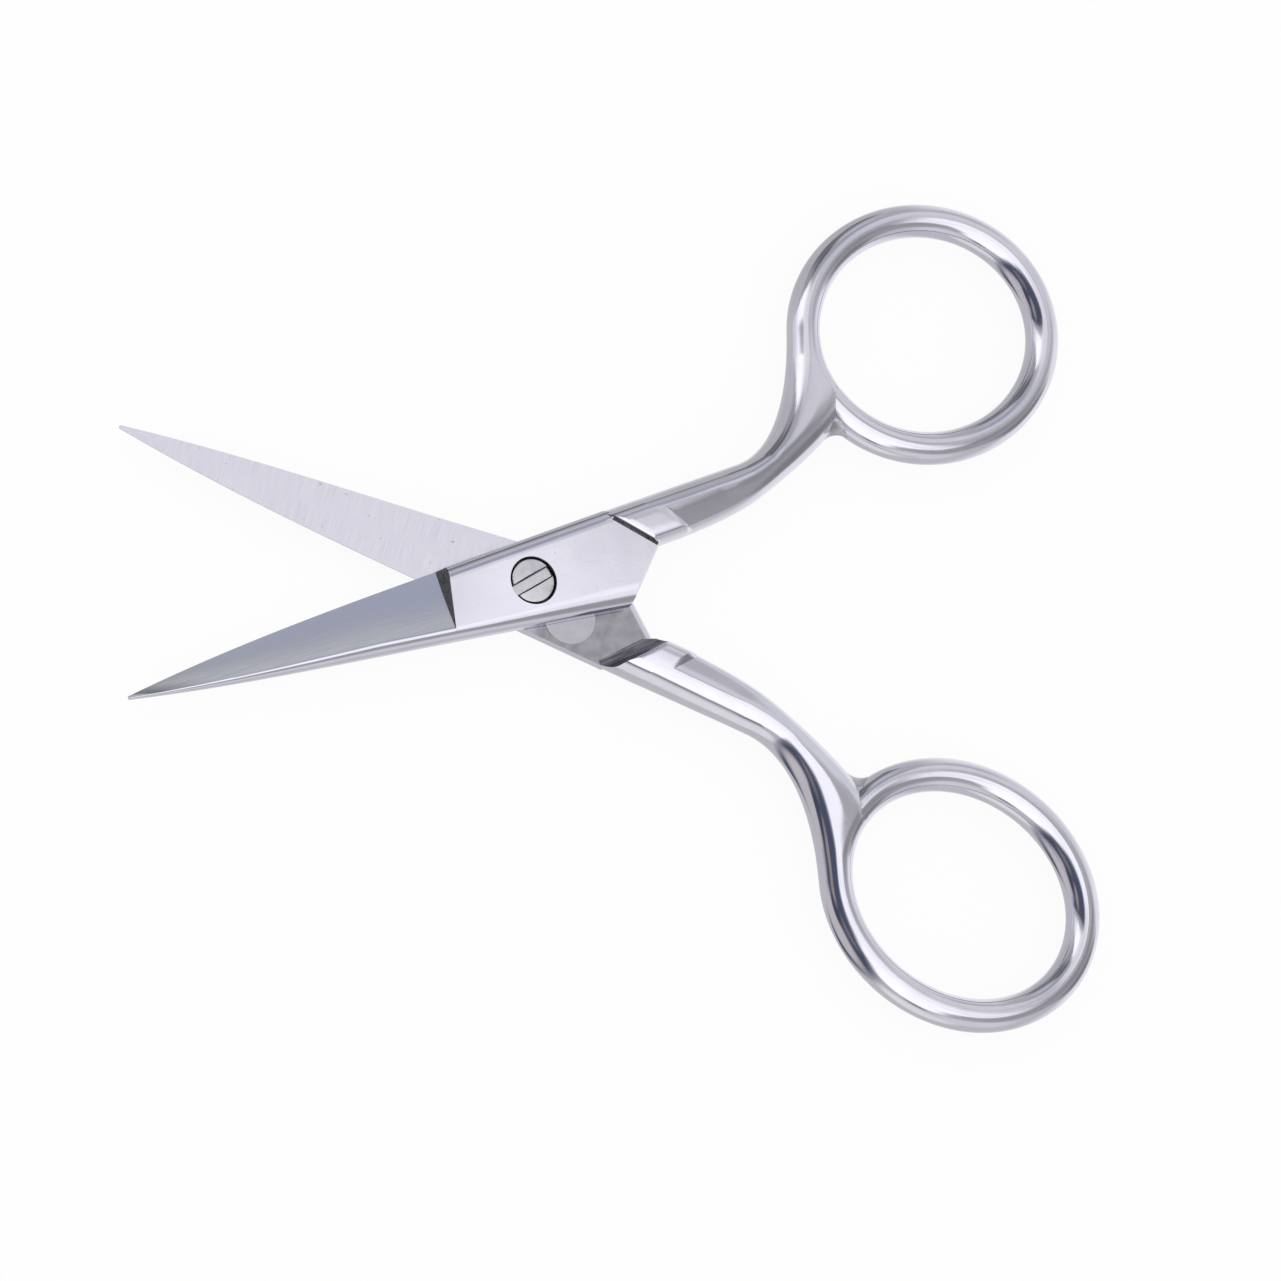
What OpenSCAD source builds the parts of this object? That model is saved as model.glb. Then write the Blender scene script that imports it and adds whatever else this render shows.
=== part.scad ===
// Embroidery scissors with ring handles: two forged halves turning on one slotted screw.
// Millimetres. X runs along the closed scissors towards the rings and Z is the pivot axis.
// The origin is on that axis, in the flat outer face of the rear half, and the halves
// meet one plate thickness above it.

/* [Overall] */
// Pivot to blade tip
blade_len = 39.8; // [34:0.2:60]
// Pivot to the far end of a finger ring
handle_len = 61.8; // [58:0.2:72]
// Angle between the blades as shown
open_angle = 36.4; // [0:0.2:120]

/* [Blade] */
// Pivot to the step at the blade's heel
heel_dist = 8.2; // [6.5:0.1:11]
// Length of the heel's slope at the cutting edge
heel_run = 0.7; // [0.4:0.05:1.2]
// Lean of the heel across the blade
heel_slant = 0.235; // [0:0.005:0.3]
// Cutting edge above the centre line at the heel
edge_offset = 3.4; // [2.8:0.05:4]
// Spine below the centre line at the heel
spine_offset = 3.2; // [2.8:0.05:4]
// Slope of the cutting edge at the tip
edge_taper = 0.17; // [0.1:0.01:0.24]
// Slope of the spine at the tip
spine_taper = 0.15; // [0.1:0.01:0.24]
// Depth of the hollow ground into the bevel
hollow = 0.12; // [0:0.01:0.2]
// Width of the tip
tip_w = 0.3; // [0.2:0.05:0.8]
// Thickness of the tip
tip_t = 0.5; // [0.35:0.05:0.9]
// Flat left along the cutting edge
edge_land = 0.12; // [0.08:0.01:0.25]

/* [Joint plate] */
// Mating plane to the outer face
plate_t = 1.92; // [1.7:0.02:2.2]
// Growth of the upper edge per millimetre of length
upper_slope = 0.066; // [0.03:0.002:0.09]
// Growth of the lower edge per millimetre of length
lower_slope = 0.085; // [0.03:0.005:0.1]
// Width of the rounded bevel on the upper edge
bevel_upper = 1.2; // [0.6:0.05:1.5]
// Width of the rounded bevel on the lower edge
bevel_lower = 0.9; // [0.6:0.05:1.1]
// Depth of both bevels
bevel_depth = 0.9; // [0.5:0.05:1.2]
// Pivot to the point where tail and shoulder meet
tail_dist = 13.3; // [12.6:0.1:14.5]
// Round along the tail's inner edge
tail_round = 1.2; // [0.4:0.1:1.4]
// Width of the relief groove at the outer shoulder
groove_w = 0.3; // [0.2:0.05:0.5]
// Depth of that groove in the middle
groove_depth = 0.4; // [0.2:0.05:0.6]
// Diameter of the wheel that leaves the groove
wheel_d = 16; // [10:1:24]

/* [Shank] */
// Half thickness of the stop block
block_h = 2.3; // [2.1:0.05:2.8]
// Length of the stop block
block_len = 3.5; // [2:0.1:4.5]
// Round on the block's inner edge, on the side of the mating plane
block_bevel = 1.4; // [0.4:0.1:1.8]
// Half thickness of the ground inner edge
facet_h = 1.3; // [0.9:0.05:1.6]
// Part of the width that the ground facet takes
facet_part = 0.55; // [0.3:0.05:0.7]
// Corner radius along the outer side
shank_round = 1.15; // [0.8:0.05:1.4]
// Pivot to the start of the bend
bend_dist = 24.2; // [22:0.1:26]
// Width of the shank at the start of the bend
bend_w = 3.6; // [3.2:0.05:4]
// Inner shoulder's wall behind the outer shoulder
setback = 0.84; // [0.5:0.02:1.2]
// Fillet at the root of the inner shoulder
root_fillet = 1.4; // [0.3:0.05:1.6]

/* [Finger ring] */
// Length of the finger hole
hole_len = 22.1; // [20:0.1:24]
// Width of the finger hole
hole_w = 19.0; // [17:0.1:22]
// Thickness of the ring's wire
wire_d = 3.1; // [2.8:0.1:3.6]
// Lean of the oval
ring_lean = 4; // [0:0.5:6]

/* [Pivot screw] */
// Diameter of the head
head_d = 4.1; // [3.6:0.1:4.4]
// Height of the head
head_h = 0.95; // [0.8:0.05:1.1]
// Bevel around the head and the threaded end
screw_bevel = 0.15; // [0.05:0.01:0.2]
// Depth of both ends of the screw below the outer faces
screw_sink = 0.02; // [0.01:0.01:0.05]
// Width of the driver slot
slot_w = 0.9; // [0.6:0.05:1.2]
// Depth of the driver slot
slot_depth = 0.45; // [0.3:0.05:0.5]
// Direction of the driver slot
slot_turn = 31; // [0:1:180]
// Diameter of the smooth shoulder in the moving half
shoulder_d = 2.8; // [2.6:0.1:3]
// Diameter of the threaded end in the other half
thread_d = 2.2; // [1.8:0.1:2.4]

/* [Ride pads] */
// Diameter of the raised pad behind the pivot
ride_d = 5.0; // [4:0.1:5.2]
// Pivot to the pad's centre along the half
ride_x = 4.7; // [4.5:0.1:5]
// Pad's centre above the centre line
ride_y = 1.3; // [0.8:0.1:1.5]

/* [Fits] */
// Relief of each inner face from the mating plane
mate_gap = 0.06; // [0.04:0.01:0.12]
// Gap between the two ride pads
ride_gap = 0.02; // [0.01:0.01:0.05]
// Radial clearance of the shoulder in its bore
run_gap = 0.04; // [0.02:0.01:0.08]
// Clearance around and under the screw head
head_gap = 0.14; // [0.06:0.01:0.2]
// Gap left at the stops when the scissors are closed
stop_gap = 0.16; // [0.1:0.02:0.3]
// Interference of the screw thread
thread_grip = 0.02; // [0.01:0.01:0.04]

/* [Hidden] */
steel = [0.82, 0.82, 0.85];
screw_steel = [0.72, 0.72, 0.74];
eps = 0.01;
// Longer than any cut that goes right through
far = 60;
// Faces of the rounds on pins and bores
smooth = 64;
// How far the plate and the pads reach into the metal that they join
bed = 0.3;
r_wire = wire_d / 2;
// Semi-axes of the ring's centre line and the place of its centre
ring_a = hole_len / 2 + r_wire;
ring_b = hole_w / 2 + r_wire;
ring_x = handle_len - ring_a - r_wire;
ring_y = ring_b + r_wire + stop_gap;
// Distances from the pivot square to the two slanting ends of the joint
shoulder = tail_dist / sqrt(2);
tail_end = (tail_dist - stop_gap) / sqrt(2);

function mix(a, b, u) = a + (b - a) * u;
function ease(u) = u * u * (3 - 2 * u);
function turned(p, a) = [p[0] * cos(a) - p[1] * sin(a), p[0] * sin(a) + p[1] * cos(a)];
function hermite(y0, y1, m0, m1, u) =
    y0 * (1 - u) * (1 - u) * (1 + 2 * u) + y1 * u * u * (3 - 2 * u)
    + m0 * u * (1 - u) * (1 - u) - m1 * u * u * (1 - u);
function bezier(p, u) =
    let (v = 1 - u)
    v * v * v * p[0] + 3 * v * v * u * p[1] + 3 * v * u * u * p[2] + u * u * u * p[3];
// A point on an oval parallel to the ring's centre line, and its clockwise direction
function oval(grow, t) =
    let (p = [(ring_a + grow) * cos(t), (ring_b + grow) * sin(t)])
    [ring_x, ring_y] + turned(p, ring_lean);
function oval_dir(grow, t) =
    let (p = [(ring_a + grow) * sin(t), -(ring_b + grow) * cos(t)])
    turned(p, ring_lean) / norm(p);

// Points that the shank's outer and inner sides pass through. The outer side stands a
// little proud of the plate, and the inner side leans as the second slope says.
proud = 0.06;
inner_slope = 0.06;
upper_at_shoulder = (edge_offset + upper_slope * (heel_dist + tail_dist)) / (1 + upper_slope);
block_out = [tail_dist - upper_at_shoulder, upper_at_shoulder + proud];
block_in = [tail_dist - stop_gap, stop_gap];
facet_out = block_out + block_len * [1, upper_slope];
facet_in = block_in + block_len * [1, inner_slope];
bend_out = [bend_dist, edge_offset + upper_slope * (heel_dist + bend_dist)];
bend_lag = 1.3;
bend_in = [bend_dist + bend_lag, bend_out[1] - bend_w];
// Ring angles: where the outer side joins the oval, where the inner side joins the hole,
// where the two pieces of the oval meet, and where the wire runs out inside the shank
join_out_angle = 158;
join_in_angle = 192;
join_ring_angle = 90;
wire_end_angle = -174;
// Ring angle and scale of the tapered ends that lead one piece into the next
lead_angle = 8;
lead_scale = 0.8;
// Directions and pull of the curves along the shank's inner side and the bend
bend_slope = 0.36;
facet_pull = [2.7, 0.25];
shank_pull = 2.6;
out_pull = [4.8, 5.8];
in_pull = [7.2, 3.2];
facet_curve = [
    facet_in,
    facet_in + facet_pull,
    bend_in - shank_pull * [1, bend_slope],
    bend_in];
bend_out_curve = [
    bend_out,
    bend_out + out_pull[0] * [1, upper_slope],
    oval(r_wire, join_out_angle) - out_pull[1] * oval_dir(r_wire, join_out_angle),
    oval(r_wire, join_out_angle)];
bend_in_curve = [
    bend_in,
    bend_in + in_pull[0] * [1, bend_slope],
    oval(-r_wire, join_in_angle) - in_pull[1] * oval_dir(-r_wire, join_in_angle),
    oval(-r_wire, join_in_angle)];
// Part of the bend after which its inner side follows the hole
split_part = 0.62;

// One section of the handle, in the upright plane through its inner and outer side.
// The facet falls from the full height to the inner edge, and both sides are rounded.
round_steps = 7;
flat_part = 0.04;
round_part = 0.45;
function profile(w, h_out, h_in, part, r_out, r_in) =
    let (facet = min(max(part * w, r_in + flat_part * w), w - r_out - flat_part * w))
    let (xs = concat(
        [for (i = [0:round_steps - 1]) r_in * (1 - cos(90 * i / round_steps))],
        [r_in, facet],
        [for (i = [round_steps:-1:0]) w - r_out * (1 - cos(90 * i / round_steps))]))
    [for (x = xs) [x, cap(x, w, r_out, r_in) * mix(h_in, h_out, min(1, x / facet))]];
function cap(x, w, r_out, r_in) =
    x < r_in ? sqrt(max(0, 1 - pow(1 - x / r_in, 2)))
    : x > w - r_out ? sqrt(max(0, 1 - pow((x - w + r_out) / r_out, 2)))
    : 1;
function section(outer, inner, h_out, h_in, part, r_out, r_in, r_low = 0) =
    let (w = norm(outer - inner), dir = (outer - inner) / w, lim = round_part * w)
    let (top = profile(w, h_out, h_in, part, min(r_out, lim), min(r_in, lim)))
    let (low = profile(w, h_out, h_in, part, min(r_out, lim), min(max(r_in, r_low), lim)))
    concat(
        [for (q = top) [inner[0] + dir[0] * q[0], inner[1] + dir[1] * q[0], q[1]]],
        [for (i = [len(low) - 2:-1:1]) [
            inner[0] + dir[0] * low[i][0], inner[1] + dir[1] * low[i][0], -low[i][1]]]);

// Stations of the handle: stop block, ground shank, bend and wire. Heights fall a little
// along the shank, and the facet starts with a short step down from the block.
block_fall = 0.1;
crown_part = 0.2;
block_edge = 0.35;
facet_step = 0.15;
facet_edge = 0.4;
shank_fall = 0.2;
facet_fall = 0.1;
bend_round = 1.5;
crotch_dip = 0.25;
crotch_round = 1;
function block_station(u) =
    section(mix(block_out, facet_out, u), mix(block_in, facet_in, u),
        block_h, block_h - block_fall, crown_part, shank_round, block_edge, block_bevel);
function shank_station(u) =
    let (step = [facet_step * (1 - u), 0])
    section(mix(facet_out, bend_out, u) + step, bezier(facet_curve, u) + step,
        block_h - shank_fall * u, facet_h - facet_fall * u,
        facet_part, mix(shank_round, bend_round, u), facet_edge);
function bend_inner(u) =
    u < split_part
    ? bezier(bend_in_curve, u / split_part)
    : oval(-r_wire, mix(join_in_angle, join_out_angle, (u - split_part) / (1 - split_part)));
function bend_station(u) =
    let (web = ease(min(1, u / split_part)), crotch = 4 * web * (1 - web))
    section(bezier(bend_out_curve, u), bend_inner(u), mix(block_h - shank_fall, r_wire, ease(u)),
        mix(facet_h - facet_fall, r_wire, web) - crotch_dip * crotch, mix(facet_part, 0.5, u),
        mix(bend_round, r_wire, u), mix(facet_edge, r_wire, web) + crotch_round * crotch);
function wire_station(t, k = 1) =
    section(mix(oval(0, t), oval(r_wire, t), k), mix(oval(0, t), oval(-r_wire, t), k),
        r_wire * k, r_wire * k, 0.5, r_wire * k, r_wire * k);

block_steps = 2;
shank_steps = 7;
bend_steps = 20;
arch_steps = 9;
wire_steps = 36;
handle_sections = concat(
    [for (i = [0:block_steps]) block_station(i / block_steps)],
    [for (i = [0:shank_steps]) shank_station(i / shank_steps)],
    [for (i = [1:bend_steps]) bend_station(i / bend_steps)],
    [for (i = [1:arch_steps]) wire_station(mix(join_out_angle, join_ring_angle, i / arch_steps))]);
wire_sections = concat(
    [wire_station(join_ring_angle + lead_angle, lead_scale)],
    [for (i = [0:wire_steps])
        wire_station(mix(join_ring_angle, wire_end_angle + lead_angle, i / wire_steps))],
    [wire_station(wire_end_angle, lead_scale)]);

// Web in the corner between the shank's inner side and the ring. It is widest half way up,
// runs out at its upper and lower end, and reaches into the metal on both sides.
web_h = 1.05;
web_back_part = 0.17;
web_turn_angle = 11;
web_power = 1.6;
web_least_part = 0.08;
web_sink = 1;
web_bed = 0.5;
web_inset = 0.06;
web_steps = 6;
web_level_parts = [-1, -0.85, -0.6, -0.3, 0, 0.3, 0.6, 0.85, 1];
search_steps = 30;
function on_oval(p) =
    let (q = turned(p - [ring_x, ring_y], -ring_lean))
    [q[0] / (ring_a + r_wire), q[1] / (ring_b + r_wire)];
function crossing(low, high, n) =
    let (middle = (low + high) / 2)
    n == 0 ? middle
    : norm(on_oval(bezier(bend_in_curve, middle))) < 1 ? crossing(low, middle, n - 1)
    : crossing(middle, high, n - 1);
corner_at = crossing(0, 1, search_steps);
corner = bezier(bend_in_curve, corner_at);
corner_angle = atan2(on_oval(corner)[1], on_oval(corner)[0]);
along_shank = bezier(bend_in_curve, corner_at - web_back_part) - corner;
along_ring = oval(r_wire, corner_angle + web_turn_angle) - corner;
function web_section(v) =
    let (k = max(web_least_part, 1 - pow(abs(v), web_power)), z = v * web_h)
    let (into_shank = -along_ring / norm(along_ring), into_ring = -along_shank / norm(along_shank))
    let (sink = (web_inset + web_sink * (1 - sqrt(1 - v * v))) * into_shank)
    let (a = bezier(bend_in_curve, corner_at - web_back_part * k) + sink, c = corner + sink)
    let (b = oval(sqrt(r_wire * r_wire - z * z) - web_inset, corner_angle + web_turn_angle * k))
    let (outline = concat(
        [a + web_bed * into_shank],
        [for (i = [0:web_steps]) let (u = i / web_steps) mix(mix(a, c, u), mix(c, b, u), u)],
        [b + web_bed * into_ring, c + 2 * web_bed * (into_shank + into_ring)]))
    [for (q = outline) [q[0], q[1], z]];
web_sections = [for (v = web_level_parts) web_section(v)];

// Edges of the blade and the joint plate
ground_len = blade_len - heel_dist;
function upper_edge(x) =
    x < -heel_dist
    ? hermite(tip_w / 2, edge_offset, edge_taper * ground_len, upper_slope * ground_len,
        (x + blade_len) / ground_len)
    : edge_offset + upper_slope * (x + heel_dist);
function lower_edge(x) =
    x < -heel_dist
    ? hermite(-tip_w / 2, -spine_offset, -spine_taper * ground_len, -lower_slope * ground_len,
        (x + blade_len) / ground_len)
    : -spine_offset - lower_slope * (x + heel_dist);

// One station of the blade or plate at x on the centre line. At the heel, climb goes from
// 0 at the foot of the slope to 1 on the plate. The slope is longest at the cutting edge,
// starts with a corner and steepens to the plate. Stations near the heel lean with it.
foot_part = 0.1;
corner_part = 0.55;
lean_full = 1;
lean_none = 3;
thinning_power = 0.8;
growth_rate = [0.1, 1.2];
bevel_share = [0.35, 0.4, 0.6];
belly_part = [0.4, 0.7];
flat_steps = 5;
function lean_at(x) =
    let (away = lean_none - abs(x + heel_dist))
    heel_slant * min(1, max(0, away / (lean_none - lean_full)));
function blade_station(x, climb) =
    let (u = min(1, (x + blade_len) / ground_len), lean = lean_at(x))
    let (run = abs(x + heel_dist) < eps ? heel_run * (1 - climb) : 0)
    let (rise = mix(1 - sqrt(1 - climb * climb), climb, corner_part))
    let (top = mix(tip_t, plate_t, pow(u, thinning_power)))
    let (y0 = lower_edge(x - lean * spine_offset), y1 = upper_edge(x + lean * edge_offset - run))
    let (grow = min(1, growth_rate[0] + u * growth_rate[1]))
    let (y2 = y0 + min(bevel_lower * grow, bevel_share[0] * (y1 - y0)))
    let (y3 = y1 - min(bevel_upper * grow, bevel_share[1] * (y1 - y0)))
    let (wall = top - min(bevel_depth * grow, bevel_share[2] * top))
    let (lower = belly(y0, y2, wall, top), upper = belly(y1, y3, wall, top))
    let (flat = [for (i = [1:flat_steps]) [mix(y2, y3, i / flat_steps), top]])
    let (ground = [for (q = concat(flat, [upper, [y1, wall]])) ground_point(q, y2, y1, top, rise)])
    [for (q = concat([[y0, mate_gap], [y0, wall], lower, [y2, top]], ground, [[y1, mate_gap]]))
        let (v = max(0, (q[0] - y2) / (y1 - y2)))
        [x + lean * q[0] - run * mix(foot_part, 1, v), q[0], q[1]]];
function belly(ya, yb, za, zb) = [mix(ya, yb, belly_part[0]), mix(za, zb, belly_part[1])];
// A point of the plate's outer face, sunk to the ground bevel in front of the heel
function ground_point(q, y2, y1, top, rise) =
    let (v = (q[0] - y2) / (y1 - y2))
    let (edge = mate_gap + edge_land)
    let (low = mix(top, edge, v) - 4 * hollow * v * (1 - v) * top / plate_t)
    [q[0], mix(max(low, edge), q[1], rise)];

blade_steps = 18;
// Stations stand closer towards the tip, and the plate runs on past the tail to be cut off
crowding_power = 1.2;
overrun = 1;
climb_parts = [0, 0.5, 0.85, 1];
plate_steps = 3;
function tip_to_heel(u) = mix(-blade_len, -heel_dist - 2 * heel_run, pow(u, crowding_power));
blade_sections = concat(
    [for (i = [0:blade_steps]) blade_station(tip_to_heel(i / blade_steps), 0)],
    [for (c = climb_parts) blade_station(-heel_dist, c)],
    [for (i = [1:plate_steps]) blade_station(mix(-heel_dist, tail_dist + overrun, i / plate_steps), 1)]);

// Skin through a list of sections with equal numbers of points, closed at both ends
module loft(sections) {
    n = len(sections[0]);
    m = len(sections);
    points = [for (s = sections) each s];
    sides = [for (j = [0:m - 2]) for (i = [0:n - 1]) each [
        [j * n + i, j * n + (i + 1) % n, (j + 1) * n + i],
        [j * n + (i + 1) % n, (j + 1) * n + (i + 1) % n, (j + 1) * n + i]]];
    start = [for (i = [n - 1:-1:0]) i];
    end = [for (i = [0:n - 1]) (m - 1) * n + i];
    polyhedron(points, concat(sides, [start, end]), convexity = 8);
}

// A round bar along Y
module bar(r) rotate([90, 0, 0]) cylinder(r = r, h = far, center = true, $fn = smooth);

// Blade and joint plate in one piece, cut off along the tail and inside the shank
module blade_plate() {
    difference() {
        loft(blade_sections);
        rotate(-45) tail_cut();
        rotate(45) translate([shoulder + bed, -far / 2, -far / 2]) cube(far);
    }
}

// Everything past the tail, and the corner outside the round on its inner edge
module tail_cut() {
    translate([tail_end, -far / 2, -far / 2]) cube(far);
    translate([tail_end - tail_round, 0, mate_gap + tail_round - 2 * eps]) difference() {
        translate([0, -far / 2, -far]) cube(far);
        bar(tail_round);
    }
}

// Stop block, shank and first part of the ring, with the inner side cut back to make
// room for the other half's tail, and a fillet at the root of that shoulder
module handle() {
    difference() {
        loft(handle_sections);
        rotate(45) translate([shoulder + setback - root_fillet, 0, mate_gap - root_fillet]) {
            bar(root_fillet);
            translate([-far, -far / 2, -far]) cube([far, far, far + root_fillet]);
            translate([-root_fillet, -far / 2, -far]) cube([2 * root_fillet, far, far]);
        }
    }
}

// Mark of the wheel that finished the plate's outer face, along the foot of the block
module shoulder_groove() {
    flat_start = (2 * upper_at_shoulder - tail_dist) / sqrt(2) - bevel_upper;
    middle = (flat_start - tail_end) / 2;
    rotate(45) translate([shoulder - groove_w, middle, plate_t - groove_depth + wheel_d / 2])
        rotate([0, 90, 0]) cylinder(d = wheel_d, h = groove_w + proud, $fn = smooth);
}

// The forging shared by both halves, with its ring and cutting edge on the +Y side
module half() {
    difference() {
        union() {
            handle();
            loft(wire_sections);
            loft(web_sections);
            blade_plate();
            translate([ride_x, ride_y, ride_gap / 2]) cylinder(d = ride_d, h = bed, $fn = smooth);
        }
        shoulder_groove();
    }
}

// From the mating plane, where every piece is drawn, to its place above the origin
module at_mating_plane(turn = 0) translate([0, 0, plate_t]) rotate(turn) children();

// Half with the bore and the counterbore for the screw head
module front_half() color(steel) at_mating_plane(open_angle / 2) difference() {
    half();
    translate([0, 0, -far / 2]) cylinder(r = shoulder_d / 2 + run_gap, h = far, $fn = smooth);
    translate([0, 0, plate_t - head_h - head_gap])
        cylinder(r = head_d / 2 + head_gap, h = far, $fn = smooth);
}

// The same forging turned over, with the hole for the thread
module rear_half() color(steel) at_mating_plane(-open_angle / 2) rotate([180, 0, 0]) difference() {
    half();
    translate([0, 0, -far / 2]) cylinder(r = thread_d / 2 - thread_grip, h = far, $fn = smooth);
}

// Slotted head, smooth shoulder down to the rear half, and threaded end
module pivot_screw() color(screw_steel) at_mating_plane() {
    head_top = plate_t - screw_sink;
    head_bottom = plate_t - head_h;
    end = -plate_t + screw_sink;
    difference() {
        union() {
            translate([0, 0, head_bottom])
                cylinder(d = head_d, h = head_top - screw_bevel - head_bottom, $fn = smooth);
            translate([0, 0, head_top - screw_bevel])
                cylinder(d1 = head_d, d2 = head_d - 2 * screw_bevel, h = screw_bevel, $fn = smooth);
        }
        rotate(slot_turn) translate([-head_d, -slot_w / 2, head_top - slot_depth])
            cube([2 * head_d, slot_w, head_h]);
    }
    translate([0, 0, -mate_gap])
        cylinder(d = shoulder_d, h = head_bottom + mate_gap + eps, $fn = smooth);
    translate([0, 0, end + screw_bevel])
        cylinder(d = thread_d, h = -mate_gap - end - screw_bevel + eps, $fn = smooth);
    translate([0, 0, end])
        cylinder(d1 = thread_d - 2 * screw_bevel, d2 = thread_d, h = screw_bevel + eps, $fn = smooth);
}

front_half();
rear_half();
pivot_screw();
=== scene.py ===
# Looks for a pair of small ring-handled scissors: two mirror-polished forgings and their screw.
# The forgings are rebuilt from the same sizes as the solids, with finer skins.
import math

import bmesh
import bpy
import numpy as np
from mathutils import Matrix, Vector


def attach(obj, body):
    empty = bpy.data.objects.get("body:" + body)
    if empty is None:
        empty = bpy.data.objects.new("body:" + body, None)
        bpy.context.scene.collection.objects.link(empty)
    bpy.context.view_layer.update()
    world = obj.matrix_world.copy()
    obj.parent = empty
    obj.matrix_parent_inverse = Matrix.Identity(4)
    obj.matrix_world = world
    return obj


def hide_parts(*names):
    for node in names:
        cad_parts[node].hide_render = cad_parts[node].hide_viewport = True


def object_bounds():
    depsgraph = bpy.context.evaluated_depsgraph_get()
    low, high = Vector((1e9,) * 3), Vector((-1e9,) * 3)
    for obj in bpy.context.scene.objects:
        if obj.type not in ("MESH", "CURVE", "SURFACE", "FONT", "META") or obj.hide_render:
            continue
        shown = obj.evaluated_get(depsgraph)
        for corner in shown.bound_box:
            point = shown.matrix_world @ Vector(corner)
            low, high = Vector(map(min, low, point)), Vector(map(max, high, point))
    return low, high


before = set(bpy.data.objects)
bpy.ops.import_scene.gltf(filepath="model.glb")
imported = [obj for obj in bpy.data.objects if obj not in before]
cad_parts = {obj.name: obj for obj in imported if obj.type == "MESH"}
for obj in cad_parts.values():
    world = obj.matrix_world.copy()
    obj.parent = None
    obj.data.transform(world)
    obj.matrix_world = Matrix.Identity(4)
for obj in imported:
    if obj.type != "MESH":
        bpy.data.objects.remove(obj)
cad_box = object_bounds()

# Sizes in millimetres, as in the solids
BLADE_LEN, HANDLE_LEN, OPEN_ANGLE = 39.8, 61.8, 36.4
HEEL_DIST, HEEL_RUN, HEEL_SLANT = 8.2, 0.7, 0.235
EDGE_OFFSET, SPINE_OFFSET, EDGE_TAPER, SPINE_TAPER = 3.4, 3.2, 0.17, 0.15
HOLLOW, TIP_W, TIP_T, EDGE_LAND = 0.12, 0.3, 0.5, 0.12
PLATE_T, UPPER_SLOPE, LOWER_SLOPE = 1.92, 0.066, 0.085
BEVEL_UPPER, BEVEL_LOWER, BEVEL_DEPTH = 1.2, 0.9, 0.9
TAIL_DIST, TAIL_ROUND = 13.3, 1.2
GROOVE_W, GROOVE_DEPTH, WHEEL_D = 0.3, 0.4, 16.0
BLOCK_H, BLOCK_LEN, BLOCK_BEVEL = 2.3, 3.5, 1.4
FACET_H, FACET_PART = 1.3, 0.55
BEND_DIST, BEND_W, SETBACK, ROOT_FILLET = 24.2, 3.6, 0.84, 1.4
HOLE_LEN, HOLE_W, WIRE_D, RING_LEAN = 22.1, 19.0, 3.1, 4.0
HEAD_D, HEAD_H, SCREW_BEVEL, SCREW_SINK = 4.1, 0.95, 0.15, 0.02
SLOT_W, SLOT_DEPTH, SLOT_TURN = 0.9, 0.45, 31.0
SHOULDER_D, THREAD_D = 2.8, 2.2
RIDE_D, RIDE_X, RIDE_Y = 5.0, 4.7, 1.3
MATE_GAP, RIDE_GAP, RUN_GAP, HEAD_GAP, STOP_GAP = 0.06, 0.02, 0.04, 0.14, 0.16
THREAD_GRIP = 0.02

# Finish that the solids leave out: rounder sides on the shank, a faint crown along the joint
# plate, whose lower bevel widens towards the tail, and broken edges
OUTER_ROUND, INNER_ROUND, CORNER_ROUND = 2.0, 0.75, 0.4
CROWN, CROWN_FROM, BEVEL_SWEEP, BELLY = 0.12, 4.0, 0.9, 0.85
BROKEN_EDGE, SEAT_EDGE, SLOT_EDGE, HEAD_CROWN = 0.22, 0.06, 0.16, 0.05
# Points closer than the first are joined, and edges that turn by more than the second stay sharp
WELD, SHARP_ANGLE = 0.004, 32.0
# A millimetre in metres
MM = 0.001

# Lesser sizes and ratios, as in the solids
BED, PROUD, INNER_SLOPE, BEND_LAG = 0.3, 0.06, 0.06, 1.3
JOIN_OUT, JOIN_IN, WIRE_END, LEAD, LEAD_SCALE = 158.0, 192.0, -174.0, 8.0, 0.8
BEND_SLOPE, SHANK_PULL, OUT_PULL, IN_PULL = 0.36, 2.6, (4.8, 5.8), (7.2, 3.2)
FACET_PULL = (2.7, 0.25)
INNER_SPLIT, MID_PART = 0.62, 0.5
LEAST_FLAT, MOST_ROUND = 0.04, 0.45
BLOCK_FALL, BLOCK_CROWN = 0.1, 0.2
FACET_STEP, SHANK_FALL, FACET_FALL = 0.15, 0.2, 0.1
CROTCH_DIP, CROTCH_ROUND = 0.25, 1.0
FOOT_PART, FOOT_CORNER, LEAN_REACH, THINNING = 0.1, 0.55, (1.0, 3.0), 0.8
WEB_H, WEB_BACK, WEB_TURN, WEB_POWER, WEB_LEAST = 1.05, 0.17, 11.0, 1.6, 0.08
WEB_SINK, WEB_BED, WEB_INSET = 1.0, 0.5, 0.06
BEVEL_GROWTH, BEVEL_SHARE = (0.1, 1.2), (0.35, 0.4, 0.6)

# Derived sizes, as in the solids
R_WIRE = WIRE_D / 2
RING_A, RING_B = HOLE_LEN / 2 + R_WIRE, HOLE_W / 2 + R_WIRE
RING_C = np.array([HANDLE_LEN - RING_A - R_WIRE, RING_B + R_WIRE + STOP_GAP])
GROUND_LEN = BLADE_LEN - HEEL_DIST
SHOULDER, TAIL_END = TAIL_DIST / math.sqrt(2), (TAIL_DIST - STOP_GAP) / math.sqrt(2)

# Slant of tail and shoulder, and a step of 1 along that diagonal
SLANT, DIAGONAL = 45.0, math.sqrt(0.5)
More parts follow.
